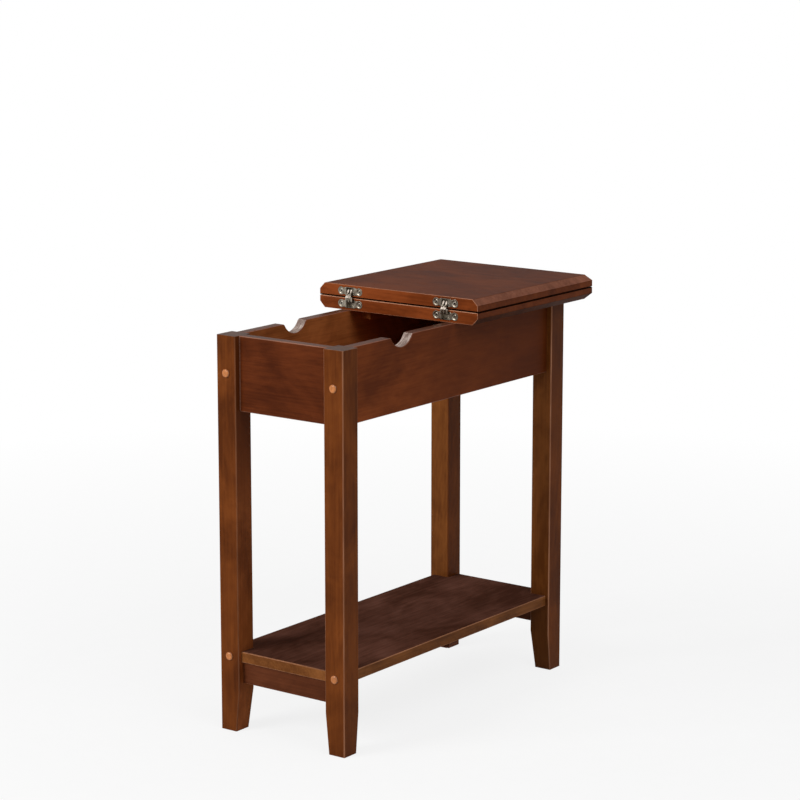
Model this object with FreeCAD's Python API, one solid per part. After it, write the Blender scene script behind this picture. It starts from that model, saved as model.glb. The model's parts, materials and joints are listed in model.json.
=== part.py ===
"""Lift top end table: a narrow wooden side table whose front top leaf folds back over a storage box.

X runs across the narrow width, Y runs from the front (-Y) to the back (+Y) and Z is up.
The front leaf is drawn folded open, lying upside down on the fixed back leaf.
"""
import FreeCAD, Part
import math
import os

V = FreeCAD.Vector

# ------------------------------------------------------------------ driving dimensions, millimetres

# Legs
frame_width = 226.0            # over the outer faces of the legs, along X
frame_length = 551.0           # over the outer faces of the legs, along Y
leg_section = 34.0
leg_height = 581.5
leg_taper = 5.7                # taken off each of the two inner faces at the floor
leg_taper_height = 60.0
leg_corner_chamfer = 1.2

# Aprons round the storage box
apron_height = 108.5
apron_thickness = 16.0
apron_inset = 9.0              # from the outer face of the legs
apron_edge_chamfer = 0.8
notch_width = 57.0             # finger notch, over its two rounded rims
notch_depth = 16.2
notch_rim_radius = 5.5
notch_offset = 113.5           # from the front end of the long apron to the middle of the notch

# Floor of the storage box, held in grooves in the aprons
floor_thickness = 5.0
floor_height = 10.0            # above the lower edge of the aprons
groove_depth = 5.0
floor_edge_clearance = 0.5
floor_play = 0.2

# Stub tenons of the short aprons and the shelf rails
tenon_length = 12.0
tenon_thickness = 8.0
tenon_end_clearance = 0.5
apron_tenon_shoulder = 12.0    # above and below the tenon
rail_tenon_shoulder = 5.0

# Shelf, its two end rails and its middle batten
shelf_top_height = 120.0
shelf_thickness = 16.0
shelf_inset = 6.0
shelf_leg_clearance = 0.3
shelf_edge_chamfer = 0.8
rail_height = 32.0
rail_thickness = 14.0
rail_inset = 10.0
batten_width = 25.0
batten_height = 8.0
batten_end_inset = 2.0

# Top leaves
leaf_thickness = 18.5
leaf_overhang = 31.0           # past the outer faces of the legs on every outer side
leaf_bevel_width = 9.0
leaf_bevel_height = 9.3
leaf_edge_chamfer = 0.8
leaf_corner_chamfer = 1.2
seam_gap = 0.6                 # between the two leaves when folded
butt_gap = 0.6                 # between their hinge edges when closed

# Cleats that hold the fixed leaf down
cleat_section = 16.0
cleat_start = 30.0             # behind the hinge line
cleat_leg_clearance = 11.5     # from the end of the cleat to the back leg
leaf_screw_end = 30.0          # from the end of the cleat
cleat_screw_end = 60.0

# Bolts, barrel nuts and button plugs that join the end frames to the long aprons and the shelf
bolt_radius = 3.0
bolt_head_radius = 5.0
bolt_head_height = 5.0
bolt_socket_radius = 2.3
bolt_socket_depth = 2.5
bolt_tail = 3.0                # past the barrel nut
bolt_hole_radius = 3.2
bolt_hole_spare = 2.0
counterbore_radius = 5.5
counterbore_depth = 9.0
nut_radius = 5.0
nut_setback = 25.0             # from the end of the apron or shelf to the middle of the nut
nut_blind_reach = 5.0          # past the middle of the board
nut_recess = 0.5
nut_slot_width = 1.2
nut_slot_depth = 1.0
plug_dome_radius = 6.4
plug_dome_height = 2.5
plug_dome_flat = 1.8            # radius of the small flat on top of the dome

# Dowels that keep the long aprons from turning on their bolts
dowel_radius = 4.0
dowel_length = 30.0
dowel_spread = 30.0            # above and below the middle of the apron

# Wood screws, as (head radius, shank radius, length)
leaf_screw = (4.0, 2.0, 29.0)
cleat_screw = (3.5, 1.75, 26.0)
batten_screw = (3.5, 1.75, 20.0)
hinge_screw = (3.1, 1.5, 15.0)
batten_screw_spacing = 80.0

# Concealed hinges
hinge_inset = 57.0             # from the side of the leaf to the middle of the hinge
plate_length = 45.5
plate_height = 12.6
plate_thickness = 1.5
plate_waist = 10.6             # height of the necks between the middle block and the lobes
plate_block = 19.0             # width of the middle block
cup_width = 17.4
cup_depth = 10.6               # behind the hinge edge of the leaf
slot_width = 14.4
slot_height = 11.3
slot_depth = 9.8
root_pin_depth = 2.4           # behind the hinge edge of the leaf
root_pin_drop = 5.3            # below the top face of the leaf
cross_pin_reach = 2.5          # in front of the leaf axis when folded open
pin_radius = 0.75
link_half_width = 1.4
link_thickness = 2.4
link_pitch = 2.6               # from the middle of one link plate to the middle of the next
slot_play = 0.3                # beside the cross pin in the slotted end of the upper links
slotted_end_wall = 0.6

# Number of flats that stand for a round: fasteners and their holes, and the forms open to view
flats = 8
fine_flats = 20

# Fits
fit_clearance = 0.05           # round dowels, screws, plugs and nuts
running_clearance = 0.05       # round the turning pins
mortise_clearance = 0.1        # round tenons and hinge housings

# ------------------------------------------------------------------ levels and planes shared by the pieces

half_width = frame_width / 2
half_length = frame_length / 2
leg_inner_x = half_width - leg_section
leg_inner_y = half_length - leg_section

apron_bottom = leg_height - apron_height
apron_middle = leg_height - apron_height / 2
apron_outer_x = half_width - apron_inset
apron_inner_x = apron_outer_x - apron_thickness
apron_outer_y = half_length - apron_inset
apron_inner_y = apron_outer_y - apron_thickness
apron_mid_x = (apron_outer_x + apron_inner_x) / 2
apron_mid_y = (apron_outer_y + apron_inner_y) / 2

groove_bottom = apron_bottom + floor_height
groove_height = floor_thickness + floor_play

shelf_bottom = shelf_top_height - shelf_thickness
shelf_middle = shelf_top_height - shelf_thickness / 2
shelf_half_x = half_width - shelf_inset
shelf_half_y = half_length - shelf_inset
rail_bottom = shelf_bottom - rail_height
rail_middle = shelf_bottom - rail_height / 2
rail_outer_y = half_length - rail_inset
rail_mid_y = rail_outer_y - rail_thickness / 2

top_height = leg_height + leaf_thickness
leaf_half_x = half_width + leaf_overhang
leaf_back_y = half_length + leaf_overhang
hinge_edge_y = butt_gap / 2                # hinge edge of the fixed leaf; the leaf axis is at Y = 0
leaf_axis_z = top_height + seam_gap / 2
hinge_middle_z = top_height - leaf_thickness / 2
hinge_x = leaf_half_x - hinge_inset
cleat_end = leg_inner_y - cleat_leg_clearance

bolt_shank = leg_section - counterbore_depth + nut_setback + nut_radius + bolt_tail
plug_shank = counterbore_depth - bolt_head_height

# The origin is the middle of the whole table on the floor, with the front leaf folded open.
front_y = -half_length - plug_dome_height
origin_y = (front_y + leaf_back_y) / 2

SIDES = (-1, 1)
UP, DOWN = V(0, 0, 1), V(0, 0, -1)


# ------------------------------------------------------------------ basic forms

def box(low, high):
    """A block between two opposite corners given in any order."""
    corner = V(min(low[0], high[0]), min(low[1], high[1]), min(low[2], high[2]))
    size = [abs(high[i] - low[i]) for i in range(3)]
    return Part.makeBox(size[0], size[1], size[2], corner)


def polygon(points):
    return Part.Face(Part.makePolygon(points + points[:1]))


def solid_through(rings):
    """A solid with flat sides through rings of corners that match one to one."""
    faces = [polygon(rings[0]), polygon(rings[-1])]
    for low, high in zip(rings, rings[1:]):
        faces += [polygon([low[i - 1], low[i], high[i], high[i - 1]]) for i in range(len(low))]
    return Part.makeSolid(Part.makeShell(faces))


def flat_sided(profile, start, direction, sides=flats):
    """A solid with flats through (corner radius, distance) stations along direction."""
    turns = [2 * math.pi * i / sides for i in range(sides)]
    rings = [[V(radius * math.cos(a), radius * math.sin(a), distance) for a in turns]
             for radius, distance in profile]
    solid = solid_through(rings)
    solid.Placement = FreeCAD.Placement(start, FreeCAD.Rotation(UP, direction))
    return solid


def rod(start, direction, radius, length, sides=flats):
    return flat_sided([(radius, 0), (radius, length)], start, direction, sides)


def hole_for_round(start, direction, radius, length):
    """A hole whose flats all touch a true round of the given radius."""
    return rod(start, direction, radius / math.cos(math.pi / flats), length)


def cut_all(shape, tools):
    return shape.cut(tools) if tools else shape


def chamfer_where(shape, size, wanted):
    return shape.makeChamfer(size, [edge for edge in shape.Edges if wanted(edge)])


def spans(edge, axis):
    """Length of an edge's box along axis 0, 1 or 2."""
    bounds = edge.BoundBox
    return (bounds.XLength, bounds.YLength, bounds.ZLength)[axis]


def on_plane(edge, axis, value):
    bounds = edge.BoundBox
    low = (bounds.XMin, bounds.YMin, bounds.ZMin)[axis]
    high = (bounds.XMax, bounds.YMax, bounds.ZMax)[axis]
    return abs(low - value) < 1e-4 and abs(high - value) < 1e-4


def fold_over(shape):
    """What the fixed leaf carries, as the folded leaf carries it."""
    return shape.mirror(V(0, 0, leaf_axis_z), UP)


# ------------------------------------------------------------------ fasteners and their holes

def dowel(middle, direction):
    return rod(middle - direction * (dowel_length / 2), direction, dowel_radius, dowel_length)


def dowel_hole(middle, direction):
    return rod(middle - direction * (dowel_length / 2), direction, dowel_radius + fit_clearance, dowel_length)


def screw_stations(size, clearance):
    head, shank, length = size
    return [(head + clearance, 0), (shank + clearance, head - shank), (shank + clearance, length)]


def screw(start, direction, size):
    """A countersunk screw, its head flush at start."""
    return flat_sided(screw_stations(size, 0), start, direction)


def screw_hole(start, direction, size):
    return flat_sided(screw_stations(size, fit_clearance), start, direction)


def bolt_places():
    """(x, side_y, z, nut_axis, board_thickness) of the eight bolts; nut_axis points out of the nut's hole."""
    places = []
    for side_x in SIDES:
        for side_y in SIDES:
            x = side_x * apron_mid_x
            places.append((x, side_y, apron_middle, V(-side_x, 0, 0), apron_thickness))
            places.append((x, side_y, shelf_middle, DOWN, shelf_thickness))
    return places


def upper_bolts():
    return [place for place in bolt_places() if place[2] == apron_middle]


def lower_bolts():
    return [place for place in bolt_places() if place[2] == shelf_middle]


def bolt(place):
    x, side_y, z = place[:3]
    inward = V(0, -side_y, 0)
    head_top = V(x, side_y * (half_length - plug_shank), z)
    head = rod(head_top, inward, bolt_head_radius, bolt_head_height)
    shank = rod(head_top + inward * bolt_head_height, inward, bolt_radius, bolt_shank)
    points = [V(bolt_socket_radius * math.cos(a), 0, bolt_socket_radius * math.sin(a))
              for a in (math.radians(60 * i) for i in range(6))]
    hexagon = polygon(points).extrude(inward * bolt_socket_depth)
    hexagon.translate(head_top)
    return head.fuse(shank).cut(hexagon)


def bolt_hole_in_leg(place):
    x, side_y, z = place[:3]
    inward = V(0, -side_y, 0)
    face = V(x, side_y * half_length, z)
    wide = rod(face, inward, counterbore_radius, counterbore_depth)
    return wide.fuse(rod(face, inward, bolt_hole_radius, leg_section))


def bolt_hole_in_board(place):
    """The bore along the board and the blind hole for the barrel nut across it."""
    x, side_y, z, nut_axis, thickness = place
    inward = V(0, -side_y, 0)
    start = V(x, side_y * leg_inner_y, z)
    bore = rod(start, inward, bolt_hole_radius, nut_setback + nut_radius + bolt_tail + bolt_hole_spare)
    blind_end = start + inward * nut_setback - nut_axis * nut_blind_reach
    pocket = rod(blind_end, nut_axis, nut_radius + fit_clearance, nut_blind_reach + thickness / 2)
    return bore.fuse(pocket)


def barrel_nut(place):
    x, side_y, z, nut_axis, thickness = place
    middle = V(x, side_y * (leg_inner_y - nut_setback), z)
    length = nut_blind_reach + thickness / 2 - nut_recess
    body = rod(middle - nut_axis * nut_blind_reach, nut_axis, nut_radius, length)
    thread = rod(middle - V(0, nut_radius, 0), V(0, 1, 0), bolt_radius + fit_clearance, 2 * nut_radius)
    mouth = middle + nut_axis * (length - nut_blind_reach)
    across = nut_axis.cross(V(0, 1, 0))
    half = across * nut_radius + V(0, nut_slot_width / 2, 0) + nut_axis * nut_slot_depth
    slot = box(mouth - half, mouth + half)
    return body.cut([thread, slot])


def button_plug(place):
    """A mushroom plug: its shank fills the counterbore over the bolt head, its dome covers the rim."""
    x, side_y, z = place[:3]
    outward = V(0, side_y, 0)
    face = V(x, side_y * half_length, z)
    radii = [plug_dome_radius, (plug_dome_radius + plug_dome_flat) / 2, plug_dome_flat]
    crown = plug_dome_height / (plug_dome_radius ** 2 - plug_dome_flat ** 2)
    dome = flat_sided([(radius, crown * (plug_dome_radius ** 2 - radius ** 2)) for radius in radii],
                      face, outward, fine_flats)
    return dome.fuse(rod(face - outward * plug_shank, outward, counterbore_radius - fit_clearance, plug_shank))


# ------------------------------------------------------------------ joints between legs, aprons and rails

def apron_dowels():
    """Two dowels at each end of each long apron, half in the leg and half in the apron."""
    return [(V(side_x * apron_mid_x, side_y * leg_inner_y, apron_middle + level * dowel_spread), V(0, 1, 0))
            for side_x in SIDES for side_y in SIDES for level in SIDES]


def dowel_holes_near(shape):
    """The dowel holes that reach into a piece, so that each piece is cut only where it is joined."""
    room = shape.BoundBox
    room.enlarge(fit_clearance)
    return [dowel_hole(*place) for place in apron_dowels() if room.isInside(place[0])]


def tenons(mid_y, bottom, top, clearance=0.0, end_clearance=0.0):
    """The two stub tenons of a short member that lies between the legs of one end."""
    half = tenon_thickness / 2 + clearance
    reach = tenon_length + end_clearance
    return [box((side_x * leg_inner_x, mid_y - half, bottom - clearance),
                (side_x * (leg_inner_x + reach), mid_y + half, top + clearance)) for side_x in SIDES]


def apron_tenons(side_y, **clearances):
    return tenons(side_y * apron_mid_y, apron_bottom + apron_tenon_shoulder,
                  leg_height - apron_tenon_shoulder, **clearances)


def rail_tenons(side_y, **clearances):
    return tenons(side_y * rail_mid_y, rail_bottom + rail_tenon_shoulder,
                  shelf_bottom - rail_tenon_shoulder, **clearances)


# ------------------------------------------------------------------ legs

def leg_outline(side_x, side_y, size, z):
    """A square with chamfered corners, whose outer corner is the leg's outer corner."""
    x = side_x * (half_width - size / 2)
    y = side_y * (half_length - size / 2)
    h = size / 2
    c = h - leg_corner_chamfer
    return [V(x + u, y + v, z) for u, v in
            ((h, -c), (h, c), (c, h), (-c, h), (-h, c), (-h, -c), (-c, -h), (c, -h))]


def leg(side_x, side_y):
    outlines = [leg_outline(side_x, side_y, leg_section - leg_taper, 0),
                leg_outline(side_x, side_y, leg_section, leg_taper_height),
                leg_outline(side_x, side_y, leg_section, leg_height)]
    body = solid_through(outlines)
    holes = [bolt_hole_in_leg(place) for place in bolt_places()
             if place[0] * side_x > 0 and place[1] == side_y]
    room = {"clearance": mortise_clearance, "end_clearance": tenon_end_clearance}
    mortises = apron_tenons(side_y, **room) + rail_tenons(side_y, **room)
    return cut_all(body, holes + dowel_holes_near(body) + mortises)


# ------------------------------------------------------------------ aprons

def long_apron_profile(x):
    """Side view of a long apron, with the finger notch in its upper edge, in the plane at x."""
    rim, depth, half = notch_rim_radius, notch_depth, notch_width / 2
    scoop = (half ** 2 + depth ** 2) / (2 * depth) - rim
    middle_y = -leg_inner_y + notch_offset
    centre_z = leg_height + scoop - depth
    # The rim arcs meet the scoop on the line between their centres.
    share = rim / (rim + scoop)
    join_y = half * (1 - share)
    join_z = leg_height - rim + (centre_z - leg_height + rim) * share
    turn = math.atan2(half, centre_z - leg_height + rim) / 2

    def spot(y, z):
        return V(x, y, z)

    def rim_arc(side):
        start = spot(middle_y + side * half, leg_height)
        middle = spot(middle_y + side * (half - rim * math.sin(turn)), leg_height - rim + rim * math.cos(turn))
        return Part.Arc(start, middle, spot(middle_y + side * join_y, join_z))

    corners = [spot(-leg_inner_y, apron_bottom), spot(leg_inner_y, apron_bottom),
               spot(leg_inner_y, leg_height), spot(-leg_inner_y, leg_height)]
    scoop_arc = Part.Arc(spot(middle_y + join_y, join_z), spot(middle_y, leg_height - depth),
                         spot(middle_y - join_y, join_z))
    edges = [Part.LineSegment(corners[0], corners[1]), Part.LineSegment(corners[1], corners[2]),
             Part.LineSegment(corners[2], spot(middle_y + half, leg_height)), rim_arc(1), scoop_arc,
             rim_arc(-1), Part.LineSegment(spot(middle_y - half, leg_height), corners[3]),
             Part.LineSegment(corners[3], corners[0])]
    return Part.Face(Part.Wire(Part.__sortEdges__([edge.toShape() for edge in edges])))


def long_apron(side_x):
    body = long_apron_profile(side_x * apron_inner_x).extrude(V(side_x * apron_thickness, 0, 0))
    body = chamfer_where(body, apron_edge_chamfer, lambda edge: (
        (on_plane(edge, 0, side_x * apron_inner_x) or on_plane(edge, 0, side_x * apron_outer_x))
        and spans(edge, 1) > 1))
    groove = box((side_x * apron_inner_x, -leg_inner_y, groove_bottom),
                 (side_x * (apron_inner_x + groove_depth), leg_inner_y, groove_bottom + groove_height))
    holes = [bolt_hole_in_board(place) for place in upper_bolts() if place[0] * side_x > 0]
    holes += dowel_holes_near(body)
    holes += [screw_hole(*place) for place in cleat_screws(side_x)]
    return cut_all(body, [groove] + holes)


def short_apron(side_y):
    body = box((-leg_inner_x, side_y * apron_inner_y, apron_bottom),
               (leg_inner_x, side_y * apron_outer_y, leg_height))
    body = chamfer_where(body, apron_edge_chamfer, lambda edge: spans(edge, 0) > 1)
    groove = box((-leg_inner_x, side_y * apron_inner_y, groove_bottom),
                 (leg_inner_x, side_y * (apron_inner_y + groove_depth), groove_bottom + groove_height))
    return body.fuse(apron_tenons(side_y)).cut(groove)


def box_floor():
    """The thin panel in the grooves, notched at its corners round the legs."""
    reach_x = apron_inner_x + groove_depth - floor_edge_clearance
    reach_y = apron_inner_y + groove_depth - floor_edge_clearance
    panel = box((-reach_x, -reach_y, groove_bottom), (reach_x, reach_y, groove_bottom + floor_thickness))
    inner_x = leg_inner_x - floor_edge_clearance
    inner_y = leg_inner_y - floor_edge_clearance
    corners = [box((side_x * inner_x, side_y * inner_y, groove_bottom),
                   (side_x * half_width, side_y * half_length, groove_bottom + floor_thickness))
               for side_x in SIDES for side_y in SIDES]
    return cut_all(panel, corners)


# ------------------------------------------------------------------ shelf

def shelf():
    board = box((-shelf_half_x, -shelf_half_y, shelf_bottom), (shelf_half_x, shelf_half_y, shelf_top_height))
    board = chamfer_where(board, shelf_edge_chamfer, lambda edge: (
        on_plane(edge, 2, shelf_bottom) or on_plane(edge, 2, shelf_top_height)))
    beside_leg = leg_inner_x - shelf_leg_clearance
    corners = [box((side_x * beside_leg, side_y * leg_inner_y, shelf_bottom),
                   (side_x * half_width, side_y * half_length, shelf_top_height))
               for side_x in SIDES for side_y in SIDES]
    board = cut_all(board, corners)
    holes = [bolt_hole_in_board(place) for place in lower_bolts()]
    holes += [screw_hole(*place) for place in batten_screws()]
    return cut_all(board, holes)


def end_rail(side_y):
    body = box((-leg_inner_x, side_y * (rail_outer_y - rail_thickness), rail_bottom),
               (leg_inner_x, side_y * rail_outer_y, shelf_bottom))
    body = chamfer_where(body, apron_edge_chamfer, lambda edge: (
        spans(edge, 0) > 1 and on_plane(edge, 2, rail_bottom)))
    return body.fuse(rail_tenons(side_y))


def shelf_batten():
    reach = shelf_half_x - batten_end_inset
    body = box((-reach, -batten_width / 2, shelf_bottom - batten_height), (reach, batten_width / 2, shelf_bottom))
    body = chamfer_where(body, shelf_edge_chamfer, lambda edge: on_plane(edge, 2, shelf_bottom - batten_height))
    return cut_all(body, [screw_hole(*place) for place in batten_screws()])


def batten_screws():
    return [(V(i * batten_screw_spacing, 0, shelf_bottom - batten_height), UP, batten_screw)
            for i in (-1, 0, 1)]


# ------------------------------------------------------------------ cleats under the fixed leaf

def cleat(side_x):
    body = box((side_x * (apron_inner_x - cleat_section), cleat_start, leg_height - cleat_section),
               (side_x * apron_inner_x, cleat_end, leg_height))
    return cut_all(body, [screw_hole(*place) for place in leaf_screws(side_x) + cleat_screws(side_x)])


def leaf_screws(side_x):
    """Upright screws from the underside of the cleat into the fixed leaf."""
    x = side_x * (apron_inner_x - cleat_section / 2)
    return [(V(x, y, leg_height - cleat_section), UP, leaf_screw)
            for y in (cleat_start + leaf_screw_end, cleat_end - leaf_screw_end)]


def cleat_screws(side_x):
    """Level screws from the inner face of the cleat into the long apron."""
    x = side_x * (apron_inner_x - cleat_section)
    return [(V(x, y, leg_height - cleat_section / 2), V(side_x, 0, 0), cleat_screw)
            for y in (cleat_start + cleat_screw_end, cleat_end - cleat_screw_end)]


# ------------------------------------------------------------------ concealed hinges

def in_leaf(y, z):
    """A hinge point in the plane across the hinge, from its place relative to the leaf axis."""
    return V(0, y, leaf_axis_z + z)


# With the leaf folded open, relative to the leaf axis:
root_y = hinge_edge_y + root_pin_depth
root_z = -seam_gap / 2 - root_pin_drop
link_length = math.hypot(root_y + cross_pin_reach, root_z)
# With the leaf closed the cross pin stands straight below the leaf axis.
closed_drop = -root_z + math.sqrt(link_length ** 2 - root_y ** 2)
link_turn_open = math.degrees(math.atan2(-root_z, -cross_pin_reach - root_y))
link_turn_closed = math.degrees(math.atan2(-closed_drop - root_z, -root_y)) % 360
link_ratio = (link_turn_closed - link_turn_open) / 180


def turn_about(point, centre, degrees):
    """Turns a (y, z) point about another, from Y towards Z."""
    c, s = math.cos(math.radians(degrees)), math.sin(math.radians(degrees))
    y, z = point[0] - centre[0], point[1] - centre[1]
    return (centre[0] + y * c - z * s, centre[1] + y * s + z * c)


def cross_pin_slip(leaf_turn):
    """How far the cross pin has slid from its eye in the upper link when the leaf has turned."""
    pin = turn_about((-cross_pin_reach, 0), (root_y, root_z), link_ratio * leaf_turn)
    pin = turn_about(pin, (0, 0), -leaf_turn)
    pin = turn_about(pin, (root_y, -root_z), link_ratio * leaf_turn)
    return (pin[0] + cross_pin_reach, pin[1])


def bar(start, end, half_width_of_bar, middle_x, thickness):
    """A flat bar with round ends between two (y, z) points, thickness along X."""
    start, end = in_leaf(*start), in_leaf(*end)
    back = V(middle_x - thickness / 2, 0, 0)
    along = end - start
    across = V(1, 0, 0).cross(along).normalize() * half_width_of_bar
    body = polygon([start + across, end + across, end - across, start - across]).extrude(V(thickness, 0, 0))
    body = body.fuse([rod(centre, V(1, 0, 0), half_width_of_bar, thickness, fine_flats)
                      for centre in (start, end)])
    body.translate(back)
    return body.removeSplitter()


def pin_hole(point, middle_x, length, clearance=0.0):
    """The hole across the hinge for a pin at a (y, z) point."""
    start = in_leaf(*point) + V(middle_x - length / 2, 0, 0)
    return hole_for_round(start, V(1, 0, 0), pin_radius + clearance, length)


def lower_link(middle_x):
    """A cranked link plate: from its root pin out of the slot, then up to the cross pin."""
    root, elbow, eye = (root_y, root_z), (-cross_pin_reach, root_z), (-cross_pin_reach, 0)
    body = bar(root, elbow, link_half_width, middle_x, link_thickness)
    body = body.fuse(bar(elbow, eye, link_half_width, middle_x, link_thickness)).removeSplitter()
    through = 2 * link_thickness
    return body.cut([pin_hole(root, middle_x, through, running_clearance), pin_hole(eye, middle_x, through)])


def upper_link(middle_x):
    """The same crank upside down, with a slotted end in which the cross pin slides."""
    root, elbow, eye = (root_y, -root_z), (-cross_pin_reach, -root_z), (-cross_pin_reach, 0)
    slip = cross_pin_slip(90)
    slot_end = (eye[0] + slip[0], eye[1] + slip[1])
    slot_half = pin_radius + slot_play
    body = bar(root, elbow, link_half_width, middle_x, link_thickness)
    body = body.fuse(bar(elbow, eye, link_half_width, middle_x, link_thickness))
    body = body.fuse(bar(eye, slot_end, slot_half + slotted_end_wall, middle_x, link_thickness)).removeSplitter()
    through = 2 * link_thickness
    slot = bar(eye, slot_end, slot_half, middle_x, through)
    return body.cut([pin_hole(root, middle_x, through, running_clearance), slot])


def pin(point, middle_x, length):
    """A round pin across the hinge at a (y, z) point."""
    return Part.makeCylinder(pin_radius, length, in_leaf(*point) + V(middle_x - length / 2, 0, 0), V(1, 0, 0))


def cross_pin(middle_x):
    return pin((-cross_pin_reach, 0), middle_x, 4 * link_pitch + link_thickness)


def root_pin(middle_x):
    return pin((root_y, root_z), middle_x, cup_width)


def plate_outline(middle_x, clearance, thickness):
    """The dog-bone plate: a middle block, two necks and two round lobes."""
    lobe = plate_height / 2
    lobe_x = plate_length / 2 - lobe
    block = plate_block / 2 + clearance
    waist = plate_waist / 2 + clearance
    parts = [box((middle_x - block, 0, -lobe - clearance), (middle_x + block, thickness, lobe + clearance)),
             box((middle_x - lobe_x, 0, -waist), (middle_x + lobe_x, thickness, waist))]
    parts += [rod(V(middle_x + side * lobe_x, 0, 0), V(0, 1, 0), lobe + clearance, thickness, fine_flats)
              for side in SIDES]
    body = parts[0].fuse(parts[1:]).removeSplitter()
    body.translate(V(0, hinge_edge_y, hinge_middle_z))
    return body


def hinge_screws(middle_x):
    lobe_x = plate_length / 2 - plate_height / 2
    return [(V(middle_x + side * lobe_x, hinge_edge_y, hinge_middle_z), V(0, 1, 0), hinge_screw)
            for side in SIDES]


def cup(middle_x, clearance):
    half_x = cup_width / 2 + clearance
    half_z = plate_height / 2 + clearance
    return box((middle_x - half_x, hinge_edge_y, hinge_middle_z - half_z),
               (middle_x + half_x, hinge_edge_y + cup_depth + clearance, hinge_middle_z + half_z))


def hinge_housing(middle_x):
    """A cast plate and cup with the slot for the links, the root pin's hole and two screw holes."""
    body = plate_outline(middle_x, 0, plate_thickness).fuse(cup(middle_x, 0)).removeSplitter()
    slot = box((middle_x - slot_width / 2, hinge_edge_y, hinge_middle_z - slot_height / 2),
               (middle_x + slot_width / 2, hinge_edge_y + slot_depth, hinge_middle_z + slot_height / 2))
    pin_seat = pin_hole((root_y, root_z), middle_x, 2 * cup_width)
    return cut_all(body, [slot, pin_seat] + [screw_hole(*place) for place in hinge_screws(middle_x)])


def hinge_mortises():
    """What is cut out of a leaf's hinge edge for both hinges."""
    cuts = []
    for side in SIDES:
        middle_x = side * hinge_x
        cuts.append(plate_outline(middle_x, mortise_clearance, plate_thickness))
        cuts.append(cup(middle_x, mortise_clearance))
        cuts += [screw_hole(*place) for place in hinge_screws(middle_x)]
    return cuts


# ------------------------------------------------------------------ top leaves

def leaf_blank():
    """A leaf as the fixed one lies: square hinge edge, the three outer edges bevelled underneath."""
    side_z = leg_height + leaf_bevel_height
    across = [(-leaf_half_x + leaf_bevel_width, leg_height), (leaf_half_x - leaf_bevel_width, leg_height),
              (leaf_half_x, side_z), (leaf_half_x, top_height), (-leaf_half_x, top_height),
              (-leaf_half_x, side_z)]
    along = [(hinge_edge_y, leg_height), (leaf_back_y - leaf_bevel_width, leg_height), (leaf_back_y, side_z),
             (leaf_back_y, top_height), (hinge_edge_y, top_height)]
    front_view = polygon([V(x, hinge_edge_y, z) for x, z in across])
    side_view = polygon([V(-leaf_half_x, y, z) for y, z in along])
    body = front_view.extrude(V(0, leaf_back_y - hinge_edge_y, 0)).common(
        side_view.extrude(V(2 * leaf_half_x, 0, 0)))
    body = chamfer_where(body, leaf_corner_chamfer, lambda edge: (
        on_plane(edge, 1, leaf_back_y) and spans(edge, 0) < 1e-4))
    return chamfer_where(body, leaf_edge_chamfer, lambda edge: on_plane(edge, 2, top_height))


def fixed_leaf():
    holes = [screw_hole(*place) for side in SIDES for place in leaf_screws(side)]
    return cut_all(leaf_blank(), hinge_mortises() + holes)


def folding_leaf():
    return fold_over(cut_all(leaf_blank(), hinge_mortises()))


# ------------------------------------------------------------------ one STEP file per named piece

def build():
    """Every piece by name; identical fasteners and hinge parts share a name as separate solids."""
    ends = {-1: "front", 1: "back"}
    sides = {-1: "left", 1: "right"}
    pieces = {}
    for side_y, end in ends.items():
        for side_x, side in sides.items():
            pieces["leg_%s_%s" % (end, side)] = [leg(side_x, side_y)]
        pieces["apron_%s" % end] = [short_apron(side_y)]
        pieces["shelf_rail_%s" % end] = [end_rail(side_y)]
        pieces["button_plugs_%s" % end] = [button_plug(p) for p in bolt_places() if p[1] == side_y]
    for side_x, side in sides.items():
        pieces["apron_%s" % side] = [long_apron(side_x)]
        pieces["leaf_cleat_%s" % side] = [cleat(side_x)]

    pieces["box_floor"] = [box_floor()]
    pieces["shelf"] = [shelf()]
    pieces["shelf_batten"] = [shelf_batten()]
    pieces["fixed_leaf"] = [fixed_leaf()]
    pieces["folding_leaf"] = [folding_leaf()]

    pieces["apron_bolts"] = [bolt(place) for place in upper_bolts()]
    pieces["shelf_bolts"] = [bolt(place) for place in lower_bolts()]
    pieces["apron_barrel_nuts"] = [barrel_nut(place) for place in upper_bolts()]
    pieces["shelf_barrel_nuts"] = [barrel_nut(place) for place in lower_bolts()]
    pieces["apron_dowels"] = [dowel(*place) for place in apron_dowels()]
    pieces["leaf_screws"] = [screw(*place) for side in SIDES for place in leaf_screws(side)]
    pieces["cleat_screws"] = [screw(*place) for side in SIDES for place in cleat_screws(side)]
    pieces["batten_screws"] = [screw(*place) for place in batten_screws()]

    middles = {side: side_x * hinge_x for side_x, side in sides.items()}
    for side, middle_x in middles.items():
        housing = hinge_housing(middle_x)
        pieces["lower_hinge_housing_%s" % side] = [housing]
        pieces["upper_hinge_housing_%s" % side] = [fold_over(housing)]
    lower_screws = [screw(*place) for x in middles.values() for place in hinge_screws(x)]
    root_pins = [root_pin(x) for x in middles.values()]
    pieces["lower_hinge_screws"] = lower_screws
    pieces["upper_hinge_screws"] = [fold_over(shape) for shape in lower_screws]
    pieces["lower_root_pins"] = root_pins
    pieces["upper_root_pins"] = [fold_over(shape) for shape in root_pins]
    pieces["lower_hinge_links"] = [lower_link(x + i * 2 * link_pitch)
                                   for x in middles.values() for i in (-1, 0, 1)]
    pieces["upper_hinge_links"] = [upper_link(x + i * link_pitch) for x in middles.values() for i in SIDES]
    pieces["hinge_cross_pins"] = [cross_pin(x) for x in middles.values()]
    return pieces


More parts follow.
